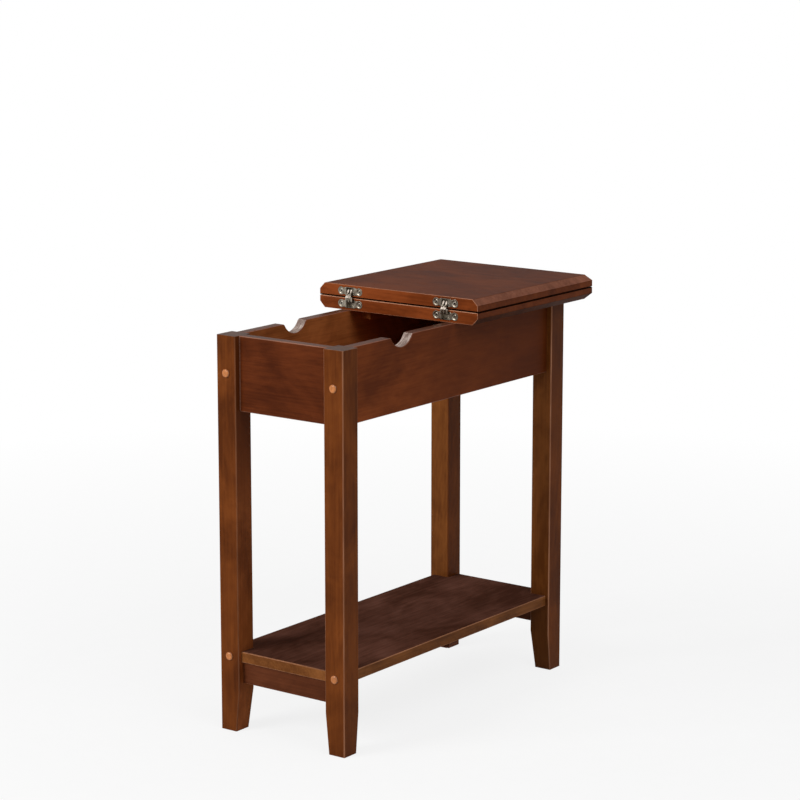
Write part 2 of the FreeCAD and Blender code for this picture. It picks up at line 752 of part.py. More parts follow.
def main():
    os.makedirs("parts", exist_ok=True)
    for name, solids in build().items():
        shape = solids[0] if len(solids) == 1 else Part.makeCompound(solids)
        shape.translate(V(0, -origin_y, 0))
        shape.exportStep("parts/%s.step" % name)
    print("origin_y %.4f  leaf_axis_z %.4f  root_y %.4f  root_z %.4f" % (origin_y, leaf_axis_z, root_y, root_z))
    print("cross_pin_reach %.4f  link_ratio %.6f" % (cross_pin_reach, link_ratio))


main()
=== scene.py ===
import json
import math

import bmesh
import bpy
from mathutils import Matrix, Vector


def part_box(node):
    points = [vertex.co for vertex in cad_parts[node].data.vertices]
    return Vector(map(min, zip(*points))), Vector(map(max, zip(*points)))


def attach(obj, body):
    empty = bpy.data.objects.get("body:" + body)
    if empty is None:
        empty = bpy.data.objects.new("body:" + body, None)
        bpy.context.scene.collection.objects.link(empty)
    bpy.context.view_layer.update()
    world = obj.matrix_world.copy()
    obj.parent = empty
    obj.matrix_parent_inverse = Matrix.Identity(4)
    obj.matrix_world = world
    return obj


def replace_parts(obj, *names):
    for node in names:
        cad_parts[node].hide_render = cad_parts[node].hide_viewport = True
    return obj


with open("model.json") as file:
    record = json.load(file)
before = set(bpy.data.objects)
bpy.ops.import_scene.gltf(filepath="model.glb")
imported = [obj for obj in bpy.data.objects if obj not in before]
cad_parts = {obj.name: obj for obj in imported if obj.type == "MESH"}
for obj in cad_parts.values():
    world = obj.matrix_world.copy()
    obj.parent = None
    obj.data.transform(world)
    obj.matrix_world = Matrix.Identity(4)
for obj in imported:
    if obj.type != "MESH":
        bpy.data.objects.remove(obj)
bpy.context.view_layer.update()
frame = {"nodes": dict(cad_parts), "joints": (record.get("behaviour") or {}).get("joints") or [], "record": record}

NODES = frame["nodes"]
RECORD = frame["record"]
BODY_OF = {node: body for body, nodes in RECORD["behaviour"]["bodies"].items() for node in nodes}
LEAF_AXIS = next(Vector(joint["pos_m"]) for joint in frame["joints"] if joint["name"] == "leaf_fold")
MM = 0.001
X, Y, Z = Vector((1, 0, 0)), Vector((0, 1, 0)), Vector((0, 0, 1))

# ------------------------------------------------------------------ sizes of the details

# Wood
EASE = 0.4 * MM                  # width of the rounding of the arrises
LEAF_EASE = 0.8 * MM             # the same on the leaves and the shelf
SEAM_SHADOW = 2.1 * MM            # height of the painted shadow above the joint of the leaves
END_HIGHLIGHT = 2.2 * MM              # strip at the ends of the front apron painted in the rubbed colour, a painted highlight
SHORTEST_EASED = 7.5 * MM        # shorter edges belong to holes and mortises and stay crisp
WIDEST_CHAMFER = 2 * MM          # chamfers up to this wide take the rubbed finish
SCOOP_DEPTH = 17 * MM            # finger notches, below the top edge of the long aprons
SCOOP_START = 0.6 * MM           # their faces begin this far below it

# Metal
METAL_EASE = 0.2 * MM            # width of the rounding of the edges
SHORTEST_METAL = 0.25 * MM       # shorter edges stay crisp
PLATE_GAP = 0.25 * MM            # shadow line round a hinge plate, inside its mortise
PROUD = 0.1 * MM                 # hinge plates in front of the leaf's edge
PLATE_EASE = 0.35 * MM           # eased rim of a plate
PLATE_FACET = 0.3                # share of the ease at which its two facets meet
PLATE_THICKNESS = 1.5 * MM
PLATE_WAIST = 10.6 * MM          # height of the necks between the block and the lobes
PLATE_BLOCK = 19 * MM            # width of the block in the middle
BLOCK_ROUND = 0.5 * MM
NECK_FILLET = ((0.1 * MM, 0.15 * MM), (0.4 * MM, 0))    # (x, z) from the corner of block and neck
LOBE_STEPS = 14                  # flats from the neck of a lobe to its tip
CUP_WIDTH = 17.4 * MM            # the cup behind the plate, inside the mortise
CUP_HEIGHT = 12.3 * MM
SLOT_WIDTH = 14.4 * MM           # the slot for the links, inside the cup
SLOT_HEIGHT = 11.3 * MM
SLOT_DEPTH = 9.8 * MM
SLOT_ROUND = 0.8 * MM            # corners of the slot and the cup
SLOT_EASE = 0.15 * MM
ROUND = 40                       # flats of a turned piece

# Screws; the shares are of the radius of the head
SCREW_GAP = 0.12 * MM            # between a screw head and its countersink
HINGE_SHANK = 1.5 * MM           # radius that the plate leaves for a hinge screw under its head
HINGE_SHANK_SHARE = 0.48         # radius of that screw's shank
WOOD_SHANK_SHARE = 0.5           # and of the other screws'
SUNK = 0.7 * MM                  # the hinge screws' heads, below the face of the plate
SINK_SLOPE = 0.8 * MM            # how much the countersink opens above the head
HEAD_FLAT = 0.92                 # share inside the eased rim of the head
HEAD_EASE = 0.06                 # share that the rim drops
HEAD_BEYOND = 0.8                # corners of a solid farther out than this share are on its head
POINT_LENGTH = 3                 # of the tapered point, in radii of the shank
RECESS_ARM = 0.66                # cross recess
RECESS_HALF_WIDTH = 0.18
RECESS_DEPTH = 0.7
RECESS_TAPER = 0.55              # size of its floor, as a share of its mouth

# The forked web that joins the two upper links of a hinge, in millimetres
WEB_LOW = (-5.2, 0.5)            # (y, z) of its front face from the leaf axis
WEB_HIGH = (0.3, 12.3)
WEB_THICKNESS = 1.1
WEB_FOOT = 4.7                   # half-widths
WEB_NECK = 4.0
FORK_GAP = 1.45
FOOT_CORNER = ((1, 0), (0.3, 0.3), (0, 1))    # (inwards, along) from the corner of the foot
NECK_START = 5.6                 # along the web, from its foot
FORK_BASE = 6.6
PRONG_TAPER = 0.2
TIP_CHAMFER = 0.7
RIVET_PLACE = 3.0
RIVET = [(0, 0.3), (0.9, 0.3), (1.3, 0.2), (1.55, 0), (1.55, -0.5), (0, -0.5)]    # (radius, height)
RIVET_FLATS = 24

# Meshes
SHARP = 20                       # degrees; edges that turn by more than this can be eased
CREASE = 50                      # degrees; edges that turn by more than this aren't shaded smooth
FLAT = 0.5                       # degrees; faces within this lie in one plane
WELD = 0.002 * MM                # corners within this are one
NORMAL_WEIGHT = 90               # how far large faces rule the shading of the small ones
FACING = 0.9                     # part of its normal that a face that looks a way has that way
LEANING = 0.3                    # and a face that leans that way


def srgb(code):
    """A linear colour from a six-digit code."""
    values = [int(code[i:i + 2], 16) / 255 for i in (0, 2, 4)]
    return tuple(v / 12.92 if v <= 0.04045 else ((v + 0.055) / 1.055) ** 2.4 for v in values) + (1.0,)


def shade(colour, share):
    """The colour made darker and redder, or lighter and yellower."""
    powers = (1, 1.15, 1.3)
    return tuple(value * share ** power for value, power in zip(colour, powers)) + (1.0,)


def apart(step, seed):
    """The step taken as many times as the seed says, so that no two pieces share their figure."""
    return tuple(length * seed for length in step)


# ------------------------------------------------------------------ material graphs

class Graph:
    """Adds nodes to a material or to the world; a socket or a plain value can feed any input."""

    def __init__(self, owner):
        owner.use_nodes = True
        self.owner = owner
        self.tree = owner.node_tree

    def node(self, kind, inputs=None, **settings):
        made = self.tree.nodes.new(kind)
        for key, value in settings.items():
            setattr(made, key, value)
        for key, value in (inputs or {}).items():
            self.feed(made.inputs[key], value)
        return made

    def feed(self, socket, value):
        if isinstance(value, bpy.types.NodeSocket):
            self.tree.links.new(value, socket)
        else:
            socket.default_value = value

    def shader(self, **values):
        """Sets inputs of the Principled shader and returns its output."""
        made = self.tree.nodes["Principled BSDF"]
        for key, value in values.items():
            self.feed(made.inputs[key.replace("_", " ")], value)
        return made.outputs[0]

    def place(self, offset=(0, 0, 0)):
        """Object coordinates in metres, moved by the offset."""
        coords = self.node("ShaderNodeTexCoord").outputs["Object"]
        return self.vector("ADD", coords, offset)

    def math(self, operation, a, b=0.0):
        return self.node("ShaderNodeMath", {0: a, 1: b}, operation=operation).outputs[0]

    def total(self, *terms):
        """The sum of (value, share) terms."""
        result = 0.0
        for value, share in terms:
            result = self.math("ADD", self.math("MULTIPLY", value, share), result)
        return result

    def vector(self, operation, a, b=(0, 0, 0)):
        made = self.node("ShaderNodeVectorMath", {0: a, 1: b}, operation=operation)
        return made.outputs["Value" if operation == "LENGTH" else "Vector"]

    def noise(self, place, scale, detail=3.0, roughness=0.55, distortion=0.0):
        """Noise whose scale along each axis is in cells per metre."""
        inputs = {"Vector": self.vector("MULTIPLY", place, scale), "Scale": 1.0, "Detail": detail,
                  "Roughness": roughness, "Distortion": distortion}
        return self.node("ShaderNodeTexNoise", inputs).outputs[0]

    def remap(self, value, low, high, to_low=0.0, to_high=1.0):
        """The value carried from the first range to the second, and kept inside it."""
        inputs = {"Value": value, "From Min": low, "From Max": high, "To Min": to_low, "To Max": to_high}
        return self.node("ShaderNodeMapRange", inputs).outputs[0]

    def mix(self, factor, a, b):
        """The first colour where the factor is 0 and the second where it is 1."""
        return self.node("ShaderNodeMix", {0: factor, 6: a, 7: b}, data_type="RGBA").outputs[2]

    def ramp(self, value, stops):
        """Colours by value, from (position, colour) stops."""
        made = self.node("ShaderNodeValToRGB", {0: value})
        elements = made.color_ramp.elements
        while len(elements) < len(stops):
            elements.new(0.5)
        for element, (position, colour) in zip(elements, stops):
            element.position = position
            element.color = colour
        return made.outputs[0]

    def bump(self, height, distance, strength=1.0):
        return self.node("ShaderNodeBump", {"Height": height, "Distance": distance,
                                            "Strength": strength}).outputs[0]


# ------------------------------------------------------------------ stained wood

GRAIN = {"X": "YZX", "Y": "XZY", "Z": "XYZ"}      # axes across, across and along the grain

# Noise of the wood, in cells per metre across, across and along the grain
CLOUDS = (13, 13, 8)
FLECKS = (95, 95, 26)
STREAKS = (420, 420, 9)
PORES = (1500, 1500, 70)
RUBBED = (220, 220, 14)          # patches where an arris is worn through its stain
SWAY = (5, 5, 1.4)               # of the heart, which the growth rings go round
HEART = (0.083, -0.047, 0)       # moves the heart off the middle of the part, in metres
LENGTHWISE = 0.02                # how far the rings close along the grain
RINGS = 150                      # per metre
BOARD_STEP = (0.731, 0.517, 1.939)     # from the figure of one board to the next, in metres
MIDDLE_WEIGHT = 0.455            # brings the sum of the noises to a mean of one half

STAINS_AND_PAINTED_LIGHT = {
    # name: (stain, where it is rubbed thin, specular level); the entries noted below paint light and shade into
    # their stain
    "leg": ("673412", "ae7a5c", 0.04),
    # end grain on top of the legs, greyed as a painted sheen
    "leg_end_painted_sheen": ("4c3226", "ae7a5c", 0.03),
    # painted light and shade: lighter near the floor, darkened under the apron, see DEEPER
    "leg_inside_painted_shade": ("864822", "ae7a5c", 0.03),
    # painted light: the front faces of the back legs, lighter than the leg stain; darker towards the floor, see
    # DEEPER
    "leg_behind_painted_light": ("73411b", "ae7a5c", 0.04),
    # painted shadow: the outer faces of the back legs darken under the leaves, see DEEPER
    "leg_outer_painted_shadow": ("673412", "ae7a5c", 0.04),
    "front_apron": ("59280f", "a27460", 0.04),
    # painted shadow: darkens towards the back, under the leaf, see DEEPER
    "long_apron": ("743818", "9c6a58", 0.03),
    # the tops of the aprons, greyed as a painted sheen
    "apron_top_painted_sheen": ("4e2e20", "9c6a58", 0.03),
    "rail": ("552b17", "8f5a3e", 0.04),
    "top": ("542813", "cf9474", 0.004),
    # painted light: the up-sloping bevel of the folding leaf, lighter than the top
    "leaf_bevel_painted_light": ("814e39", "cf9474", 0.04),
    # painted shade: the upright sides of the leaves, darker than the bevel
    "leaf_side_painted_shade": ("632f14", "cf9474", 0.03),
    # painted shade: the underside of the fixed leaf and the chamfers round it
    "leaf_under_painted_shade": ("4a2818", "cf9474", 0.01),
    "hinge_edge": ("7a3a18", "cf9474", 0.03),
    # painted shadow of the joint between the leaves
    "seam_shadow": ("1c0b05", "1c0b05", 0.0),
    "shelf": ("55352a", "b07a58", 0.0),
    "shelf_edge": ("774722", "b27b4e", 0.04),
    # a thinner, yellower stain inside the box, made paler as painted light where little light reaches
    "inner": ("96572c", "b5824e", 0.1),
    "dowel": ("b98e5c", "dcbc8c", 0.2),
}

# Tones that darken along an axis: (axis, where it starts, where it ends, share at the end).
# The long aprons and the outer faces of the back legs darken under the leaves as painted shadow,
# the inner face of the front left leg under the apron as painted shade, and the other faces of
# the legs get darker towards the floor.
DEEPER = {
    "long_apron": ("Y", -0.26, 0.14, 0.7),
    "leg_outer_painted_shadow": ("Z", 0.3, 0.38, 0.4),
    "leg_inside_painted_shade": ("Z", 0.28, 0.46, 0.95),
    "leg": ("Z", 0.17, 0.07, 0.22),
    "leg_behind_painted_light": ("Z", 0.22, 0.07, 0.5),
}


def along_grain(g, grain, seed):
    """Object coordinates turned so that the grain runs along the third axis, moved for each board."""
    split = g.node("ShaderNodeSeparateXYZ", {0: g.place()}).outputs
    swapped = g.node("ShaderNodeCombineXYZ", {i: split[axis] for i, axis in enumerate(GRAIN[grain])})
    return g.vector("ADD", swapped.outputs[0], apart(BOARD_STEP, seed))


def growth_rings(g, place):
    """Faint figure: rings round a wandering heart, cut by the faces of the board."""
    from_heart = g.vector("MULTIPLY", g.vector("ADD", place, HEART), (1, 1, LENGTHWISE))
    radius = g.total((g.vector("LENGTH", from_heart), 1), (g.noise(place, SWAY, 2), 0.16))
    return g.remap(g.math("SINE", g.math("MULTIPLY", radius, 2 * math.pi * RINGS)), -1, 1)


def stained_wood(name, stain, grain, seed, rubbed=0.0):
    """Stained wood under a satin lacquer; rubbed says how much of the stain is worn thin."""
    middle, worn = (srgb(code) for code in STAINS_AND_PAINTED_LIGHT[stain][:2])
    pale, dark, deep, open_pore = (shade(middle, share) for share in (1.4, 0.62, 0.4, 0.3))
    g = Graph(bpy.data.materials.new(name))
    place = along_grain(g, grain, seed)
    clouds = g.noise(place, CLOUDS, 4, 0.6, 0.5)
    flecks = g.noise(place, FLECKS, 3, 0.6)
    streaks = g.noise(place, STREAKS, 4, 0.62)
    pores = g.remap(g.noise(place, PORES, 2, 0.5), 0.62, 0.76)
    weight = g.total((clouds, 1.15), (flecks, 0.3), (streaks, 0.42), (growth_rings(g, place), 0.04))
    colour = g.ramp(g.math("SUBTRACT", weight, MIDDLE_WEIGHT), [(0.3, dark), (0.5, middle), (0.7, pale)])
    colour = g.mix(g.math("MULTIPLY", pores, 0.35), colour, open_pore)
    # painted shadow and shade along an axis, from DEEPER; on the legs also darker towards the floor
    if stain in DEEPER:
        axis, start, end, share = DEEPER[stain]
        along = g.node("ShaderNodeSeparateXYZ", {0: g.place()}).outputs[axis]
        colour = g.mix(g.remap(along, start, end, 0.0, share), colour, deep)
    if rubbed:
        patches = g.remap(g.noise(place, RUBBED, 3, 0.7), 0.3, 0.62, 0.45 * rubbed, rubbed)
        colour = g.mix(patches, colour, worn)
    g.shader(Base_Color=colour, Specular_IOR_Level=STAINS_AND_PAINTED_LIGHT[stain][2],
             Roughness=g.math("ADD", g.total((streaks, 0.14), (clouds, 0.1), (pores, 0.15)), 0.3),
             Normal=g.bump(g.total((streaks, 0.6), (flecks, 0.4), (pores, -1)), 0.05 * MM, 0.6))
    return g.owner


def end_grain(name, seed):
    """The bare wood of a finger notch, with lines that follow its curve."""
    g = Graph(bpy.data.materials.new(name))
    place = g.place(apart((0.41, 0.29, 0.17), seed))
    lines = g.noise(place, (1100, 45, 45), 3, 0.6)
    clouds = g.noise(place, (160, 160, 160), 3)
    colour = g.ramp(g.total((lines, 0.7), (clouds, 0.3)),
                    [(0.36, srgb("58443a")), (0.5, srgb("826e66")), (0.62, srgb("bcaca2"))])
    g.shader(Base_Color=colour, Roughness=0.6, Specular_IOR_Level=0.1, Normal=g.bump(lines, 0.1 * MM))
    return g.owner


# ------------------------------------------------------------------ metals and plugs

def plated(name, code, roughness, seed):
    """Satin plate: drawn lines and cloudy tarnish, rougher than the given value where it is dull."""
    bright = srgb(code)
    g = Graph(bpy.data.materials.new(name))
    place = g.place(apart((0.37, 0.11, 0.23), seed))
    lines = g.noise(place, (260, 2600, 2600), 2)
    clouds = g.noise(place, (210, 210, 210), 4, 0.65)
    g.shader(Base_Color=g.mix(g.remap(clouds, 0.38, 0.62, 0.0, 0.85), bright, shade(bright, 0.38)),
             Metallic=1.0, Roughness=g.math("ADD", g.math("MULTIPLY", clouds, 0.24), roughness),
             Normal=g.bump(g.total((lines, 0.4), (clouds, 1)), 0.03 * MM, 0.6))
    return g.owner


def plug_wood_and_rim_shade():
    """Light wood under a warm stain: a warm dome with fine grain and a darker foot, painted shade round its rim.
    """
    g = Graph(bpy.data.materials.new("plug_wood_and_rim_shade"))
    place = g.place()
    streaks = g.noise(place, (900, 900, 60), 3, 0.6)
    clouds = g.noise(place, (90, 90, 90), 3)
    middle = srgb("bb7034")
    colour = g.ramp(g.total((streaks, 0.5), (clouds, 0.5)),
                    [(0.32, shade(middle, 0.7)), (0.5, middle), (0.66, shade(middle, 1.25))])
    normal = g.node("ShaderNodeTexCoord").outputs["Normal"]
    facing = g.math("ABSOLUTE", g.node("ShaderNodeSeparateXYZ", {0: normal}).outputs["Y"])
    # painted shade: darker where the dome turns away from its axis, round its rim
    g.shader(Base_Color=g.mix(g.remap(facing, 0.8, 0.3, 0.0, 0.95), colour, srgb("5a2c16")),
             Roughness=0.2, Specular_IOR_Level=0.45, Normal=g.bump(streaks, 0.03 * MM, 0.4))
    return g.owner


# ------------------------------------------------------------------ mesh helpers

def piece(bm, name, node, materials):
    """A new object made of the mesh, which rides with the node's body."""
    bmesh.ops.recalc_face_normals(bm, faces=bm.faces)
    mesh = bpy.data.meshes.new(name)
    bm.to_mesh(mesh)
    bm.free()
    for material in materials:
        mesh.materials.append(material)
    mesh.shade_smooth()
    mesh.set_sharp_from_angle(angle=math.radians(CREASE))
    obj = bpy.data.objects.new(name, mesh)
    bpy.context.scene.collection.objects.link(obj)
    normals = obj.modifiers.new("flat_faces_stay_flat", "WEIGHTED_NORMAL")
    normals.weight = NORMAL_WEIGHT
    normals.keep_sharp = True
    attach(obj, BODY_OF[node])
    return obj


def stand_in(bm, suffix, node, materials):
    """The piece that is seen in place of a node."""
    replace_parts(piece(bm, node + suffix, node, materials), node)


def welded(node):
    """The node's mesh, its corners joined and its flat faces whole."""
    bm = bmesh.new()
    bm.from_mesh(NODES[node].data)
    bmesh.ops.remove_doubles(bm, verts=bm.verts, dist=WELD)
    bmesh.ops.dissolve_limit(bm, angle_limit=math.radians(FLAT), verts=bm.verts, edges=bm.edges)
    bm.normal_update()
    return bm


def ease(bm, width, wanted, material=0):
    """Rounds the sharp edges that are wanted; the new faces take the given material place."""
    edges = [edge for edge in bm.edges if len(edge.link_faces) == 2
             and edge.calc_face_angle(0) > math.radians(SHARP) and wanted(edge)]
    bmesh.ops.bevel(bm, geom=edges, offset=width, offset_type="WIDTH", segments=2, profile=0.5,
                    affect="EDGES", clamp_overlap=True, material=material)
    return bm


def box_of(points):
    """The lowest and highest corners of some points."""
    return (Vector([min(p[i] for p in points) for i in range(3)]),
            Vector([max(p[i] for p in points) for i in range(3)]))


def solids_of(node):
    """The corner points of each separate solid of a node, in order of place."""
    bm = welded(node)
    left = dict.fromkeys(bm.verts)
    found = []
    while left:
        queue = [left.popitem()[0]]
        points = []
        while queue:
            vert = queue.pop()
            points.append(vert.co.copy())
            for other in [edge.other_vert(vert) for edge in vert.link_edges]:
                if other in left:
                    del left[other]
                    queue.append(other)
        found.append(points)
    bm.free()
    return sorted(found, key=lambda points: [round(value, 4) for value in box_of(points)[0]])


def join_rings(bm, near, far):
    """Faces between two rings of as many corners, or between a ring and a point."""
    count = max(len(near), len(far))
    for i in range(count):
        corners = [near[i % len(near)], near[(i + 1) % len(near)],
                   far[(i + 1) % len(far)], far[i % len(far)]]
        bm.faces.new(list(dict.fromkeys(corners)))


def full_turn(count):
    """Angles all round, in radians."""
    return [2 * math.pi * i / count for i in range(count)]


def turned(bm, profile, place, axis, count=ROUND):
    """A surface of revolution through (radius, height) points; returns its first ring."""
    across = axis.orthogonal().normalized()
    up = axis.cross(across)
    rings = []
    for radius, height in profile:
        middle = place + axis * height
        rings.append([bm.verts.new(middle + (across * math.cos(t) + up * math.sin(t)) * radius)
                      for t in (full_turn(count) if radius else [0])])
    for near, far in zip(rings, rings[1:]):
        join_rings(bm, near, far)
    return rings[0]


def sort_by_place(elements, place):
    """Puts vertices or faces in an order that is the same in each run."""
    in_order = sorted(elements, key=lambda element: [round(value, 6) for value in place(element)])
    for index, element in enumerate(in_order):
        element.index = index
    elements.sort()


def cut(bm, place, normal):
    """Splits the faces that a plane goes through; this alone would leave them in any order."""
    bmesh.ops.bisect_plane(bm, geom=bm.verts[:] + bm.edges[:] + bm.faces[:], dist=1e-6,
                           plane_co=place, plane_no=normal)
    sort_by_place(bm.verts, lambda vert: vert.co)
    sort_by_place(bm.faces, lambda face: face.calc_center_median())


def fill(bm, *loops):
    """A flat face inside the first loop and outside the others."""
    edges = []
    for loop in loops:
        for a, b in zip(loop, loop[1:] + loop[:1]):
            edges.append(bm.edges.get((a, b)) or bm.edges.new((a, b)))
    bmesh.ops.triangle_fill(bm, edges=edges, use_beauty=True)


# ------------------------------------------------------------------ wooden pieces

FACE, ARRIS, OTHERS = 0, 1, 2      # material places on a piece of wood, the others from 2 up


def is_chamfer(face):
    """True for a narrow face that slopes between two others."""
    longest = max(edge.calc_length() for edge in face.edges)
    return max(map(abs, face.normal)) < FACING and face.calc_area() / longest < WIDEST_CHAMFER


def faces_to(direction):
    """A test for the flat faces that look that way."""
    return lambda face: face.normal.dot(direction) > FACING


def is_upright(face):
    """True for the faces all round a board that lies flat."""
    return abs(face.normal.z) < LEANING


def leans_down(face):
    """True for an underside and the chamfers round it."""
    return face.normal.z < -LEANING


def slopes_up(face):
    """True for the chamfers round an upper side."""
    return LEANING < face.normal.z < FACING


def is_hinged(face):
    """True for the faces that look forward on a leaf, where its hinges are."""
    return face.normal.y < -LEANING


def wood(node, stain, grain, seed, rubbed, others=(), width=EASE, finish=None):
    """The node with eased, rubbed arrises. The others are (stain, test) pairs for the faces that
    look different, some of them by painted light and shade; the finish, if any, changes the mesh
    once its arrises are eased."""
    names = [name for name, test in others]
    bm = welded(node)
    for face in bm.faces:
        found = [place for place, (name, test) in enumerate(others, OTHERS) if test(face)]
        face.material_index = found[0] if found else ARRIS if is_chamfer(face) else FACE

    def wanted(edge):
        places = {face.material_index for face in edge.link_faces}
        at_notch = "scoop" in names and OTHERS + names.index("scoop") in places and len(places) == 2
        return edge.calc_length() > SHORTEST_EASED or at_notch

    ease(bm, width, wanted, ARRIS)
    if finish:
        bm.normal_update()
        finish(bm)
    materials = [stained_wood(node + "_face", stain, grain, seed),
                 stained_wood(node + "_arris", stain, grain, seed, rubbed)]
    for name in names:
        full = node + "_" + name
        materials.append(end_grain(full, seed) if name == "scoop"
                         else stained_wood(full, name, grain, seed))
    stand_in(bm, "_wood", node, materials)


def make_legs():
    """The front left leg has painted shade on its inner side, the back legs painted light that makes
    them browner in front, and the arrises of the right legs are rubbed the most."""
    ends = ("leg_end_painted_sheen", faces_to(Z))
    wood("leg_front_left", "leg", "Z", 1, 0.3, (ends, ("leg_inside_painted_shade", faces_to(X))))
    wood("leg_front_right", "leg", "Z", 2, 0.75, (ends,))
    for seed, side, outward, rubbed in ((3, "left", -X, 0.1), (4, "right", X, 1.0)):
        wood("leg_back_" + side, "leg", "Z", seed, rubbed,
             (ends, ("leg_behind_painted_light", faces_to(-Y)), ("leg_outer_painted_shadow", faces_to(outward))))


def make_long_apron(side, inward, seed):
    """A long apron: yellower inside, partly as painted light, darker towards the back as painted
    shadow under the leaf, with the pale, rubbed end grain of its finger notch.
    """
    node = "apron_" + side
    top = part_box(node)[1].z

    def in_scoop(face):
        return (abs(face.normal.x) < LEANING
                and top - SCOOP_DEPTH < face.calc_center_median().z < top - SCOOP_START)

    wood(node, "long_apron", "Y", seed, 0.8,
         (("scoop", in_scoop), ("inner", faces_to(X * inward)), ("apron_top_painted_sheen", faces_to(Z))))


def paint_end_highlights(bm):
    """Marks a narrow upright strip at each end of the outer face with the rubbed colour, as a painted highlight.
    """
    face_y = min(vert.co.y for vert in bm.verts)
    reach = max(abs(vert.co.x) for vert in bm.verts if vert.co.y < face_y + EASE) - END_HIGHLIGHT
    for x in (-reach, reach):
        cut(bm, X * x, X)
    bm.normal_update()
    for face in bm.faces:
        middle = face.calc_center_median()
        if face.normal.y < -FACING and middle.y < face_y + EASE and abs(middle.x) > reach:
            face.material_index = ARRIS


def make_aprons():
    """The aprons are yellower inside, partly as painted light, and greyer on top as painted sheen,
    and the front one has a painted highlight at its ends.
    """
    make_long_apron("left", 1, 9)
    make_long_apron("right", -1, 10)
    top = ("apron_top_painted_sheen", faces_to(Z))
    wood("apron_front", "front_apron", "X", 7, 0.8, (("inner", faces_to(Y)), top), finish=paint_end_highlights)
    wood("apron_back", "front_apron", "X", 8, 0.8, (("inner", faces_to(-Y)), top))


def make_shelf():
    """The shelf with its browner edges, what holds it, and the floor of the box."""
    wood("shelf", "shelf", "Y", 14, 1.0, (("shelf_edge", is_upright),), LEAF_EASE)
    wood("shelf_batten", "rail", "X", 15, 0.4)
    wood("box_floor", "inner", "Y", 16, 0.3)
    for seed, node in enumerate(("shelf_rail_front", "shelf_rail_back"), 12):
        wood(node, "rail", "X", seed, 0.6)


def finish_leaf(bm):
    """Leaves the pale rubbed look, partly a painted highlight, to the arrises along the hinged edge,
    and paints the shadow of the joint between the leaves."""
    cut(bm, LEAF_AXIS + Z * SEAM_SHADOW, Z)
    bm.normal_update()
    for face in bm.faces:
        height = face.calc_center_median().z - LEAF_AXIS.z
        # painted shadow: a strip above the joint, and the arrises beside it
        if is_hinged(face):
            shadowed = 0 < height < SEAM_SHADOW
        else:
            shadowed = face.material_index == ARRIS and abs(height) < 2 * LEAF_EASE
        if shadowed:
            face.material_index = OTHERS
        elif face.material_index == ARRIS and not is_hinged(face):
            face.material_index = FACE


def make_leaves():
    """The leaves and the cleats; the painted shadow of the joint is the first of the others, and
    finish_leaf gives it its faces."""
    for seed, node in enumerate(("leaf_cleat_left", "leaf_cleat_right"), 17):
        wood(node, "inner", "Y", seed, 0.3)
    # the joint takes painted shadow, the upright sides and the underside painted shade, the bevel painted light
    shared = (("seam_shadow", lambda face: False), ("hinge_edge", faces_to(-Y)), ("leaf_side_painted_shade", is_upright))
    wood("fixed_leaf", "top", "X", 20, 0.9, shared + (("leaf_under_painted_shade", leans_down),),
         LEAF_EASE, finish_leaf)
    wood("folding_leaf", "top", "X", 21, 0.9, shared + (("leaf_bevel_painted_light", slopes_up),),
         LEAF_EASE, finish_leaf)


# ------------------------------------------------------------------ turned pieces

CROWN = [(0, 0.8), (0.25, 0.82), (0.42, 0.9), (0.56, 0.99), (0.64, 1), (0.76, 0.9), (0.87, 0.68),
         (0.95, 0.4), (1, 0.12), (0.98, 0)]   # (radius, height) of a plug, as shares of its own
PLUG_SHANK = 0.85                # share of the radius that goes into the hole


def make_plugs():
    """Mushroom plugs with a slightly dished crown and a rounded shoulder."""
    finish = plug_wood_and_rim_shade()
    for end, outward, corner in (("front", -Y, 0), ("back", Y, 1)):
        node = "button_plugs_" + end
        face = abs(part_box("leg_%s_left" % end)[corner].y)
        bm = bmesh.new()
        for points in solids_of(node):
            low, high = box_of(points)
            middle = Vector(((low.x + high.x) / 2, outward.y * face, (low.z + high.z) / 2))
            radius = (high.x - low.x) / 2
            inner, outer = sorted(abs(point.y) - face for point in (low, high))
            shank = PLUG_SHANK * radius
            profile = [(radius * r, outer * h) for r, h in CROWN]
            turned(bm, profile + [(shank, 0), (shank, inner), (0, inner)], middle, outward)
        stand_in(bm, "_turned", node, [finish])


def cross_points(arm, half):
    """The twelve corners of a cross."""
    quarter = [(arm, -half), (arm, half), (half, half)]
    corners = []
    for _ in range(4):
        corners += quarter
        quarter = [(-v, u) for u, v in quarter]
    return corners


def add_screw(bm, end, outward, radius, shank, length, sunk):
    """A countersunk wood screw with a cross recess and a tapered point, its head sunk a little."""
    across = outward.orthogonal().normalized()
    up = outward.cross(across)
    rim = turned(bm, [(HEAD_FLAT * radius, -sunk), (radius, -sunk - HEAD_EASE * radius),
                      (shank, shank - radius), (shank, POINT_LENGTH * shank - length), (0, -length)],
                 end, outward)
    head = end - outward * sunk
    recess = [[bm.verts.new(head + (across * u + up * v) * radius * share - outward * radius * depth)
               for u, v in cross_points(RECESS_ARM, RECESS_HALF_WIDTH)]
              for share, depth in ((1, 0), (RECESS_TAPER, RECESS_DEPTH))]
    fill(bm, rim, recess[0])
    join_rings(bm, *recess)
    bm.faces.new(recess[1])


